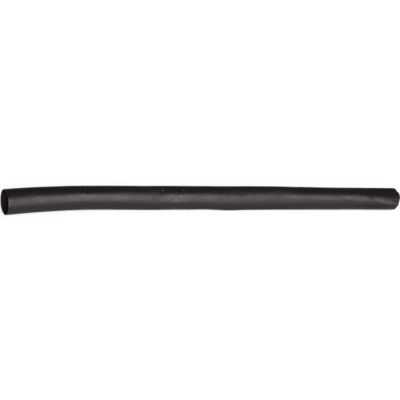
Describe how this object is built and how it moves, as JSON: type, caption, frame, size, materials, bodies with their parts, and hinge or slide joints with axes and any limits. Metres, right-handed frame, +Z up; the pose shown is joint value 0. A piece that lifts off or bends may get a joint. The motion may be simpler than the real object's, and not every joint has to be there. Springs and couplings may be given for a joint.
{
  "type": "heat shrink tube",
  "caption": "Cut length of thin-walled black heat shrink tube, open from end to end, with a slight bend and one cut end pressed in on a side.",
  "frame": {"origin": "under the middle of the tube's box, on the floor that it lies on", "axes": "+X along the straight stretch from the bent mouth to the tail, -Y towards the side that the mouth bends to, +Z up"},
  "size_m": [0.2006, 0.0158, 0.0113],
  "materials": {
    "polyolefin": "satin black"
  },
  "bodies": {
    "root": {"heat_shrink_tube": "polyolefin"}
  },
  "joints": []
}
